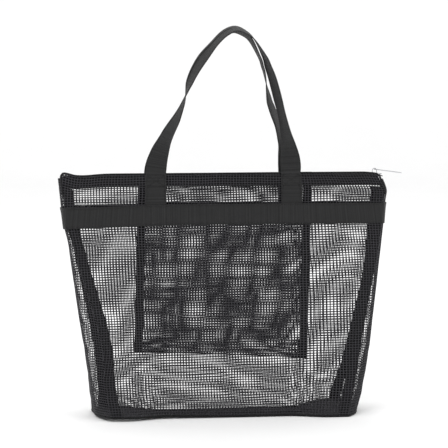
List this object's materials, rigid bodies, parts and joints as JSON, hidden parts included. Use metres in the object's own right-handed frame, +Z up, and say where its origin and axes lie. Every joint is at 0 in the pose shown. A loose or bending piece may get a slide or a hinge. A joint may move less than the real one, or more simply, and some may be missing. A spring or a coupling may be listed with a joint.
{
  "type": "mesh beach bag",
  "caption": "Open mesh tote with webbing handles, a webbing band round it, a zipped top and a hanging inner pocket.",
  "frame": {"origin": "centre of the base, on the ground", "axes": "+Z up; +X to the right as seen from the front, towards the closed end of the zip; the front is at -Y"},
  "size_m": [0.5091, 0.1212, 0.5728],
  "materials": {
    "mesh": "open square mesh of coated polyester yarn, dark charcoal, slightly glossy yarns",
    "binding": "matte black woven polyester tape",
    "webbing": "ribbed black polypropylene webbing, soft sheen",
    "zip_cloth": "black woven zip tape",
    "coil": "black nylon coil",
    "zip_metal": "nickel-plated zinc, satin"
  },
  "bodies": {
    "bag": {"front_panel": "mesh", "rear_panel": "mesh", "bottom_panel": "mesh", "left_gusset": "mesh", "right_gusset": "mesh", "front_hem_tape": "binding", "rear_hem_tape": "binding", "left_hem_tape": "binding", "right_hem_tape": "binding", "front_left_binding": "binding", "front_right_binding": "binding", "rear_left_binding": "binding", "rear_right_binding": "binding", "base_front_binding": "binding", "base_rear_binding": "binding", "base_left_binding": "binding", "base_right_binding": "binding", "front_band": "webbing", "rear_band": "webbing", "front_left_leg": "webbing", "front_right_leg": "webbing", "rear_left_leg": "webbing", "rear_right_leg": "webbing", "zip_front_tape": "zip_cloth", "zip_rear_tape": "zip_cloth", "zip_front_coil": "coil", "zip_rear_coil": "coil", "zip_closed_stop": "zip_metal", "zip_open_stop": "zip_metal"},
    "front_handle": {"front_handle": "webbing"},
    "rear_handle": {"rear_handle": "webbing"},
    "slider": {"slider_body": "zip_metal", "slider_bridge": "zip_metal"},
    "pull": {"pull": "zip_metal"},
    "pocket": {"pocket_back": "mesh", "pocket_front": "mesh", "pocket_left_binding": "binding", "pocket_right_binding": "binding", "pocket_mouth_binding": "binding"}
  },
  "joints": [
    {"name": "front_handle_flop", "type": "hinge", "parent": "bag", "child": "front_handle", "pos_m": [0, -0.015, 0.361], "axis": [1, 0, 0], "range_deg": [0, 150]},
    {"name": "rear_handle_flop", "type": "hinge", "parent": "bag", "child": "rear_handle", "pos_m": [0, 0.015, 0.361], "axis": [-1, 0, 0], "range_deg": [0, 150]},
    {"name": "zip_slide", "type": "slide", "parent": "bag", "child": "slider", "axis": [-1, 0, 0], "range_m": [0, 0.454]},
    {"name": "pull_flip", "type": "hinge", "parent": "slider", "child": "pull", "pos_m": [0.227, 0, 0.3616], "axis": [0, -1, 0], "range_deg": [-9, 193]},
    {"name": "pocket_swing", "type": "hinge", "parent": "bag", "child": "pocket", "pos_m": [0.004, 0.009, 0.35], "axis": [1, 0, 0], "range_deg": [-8, 6]}
  ]
}
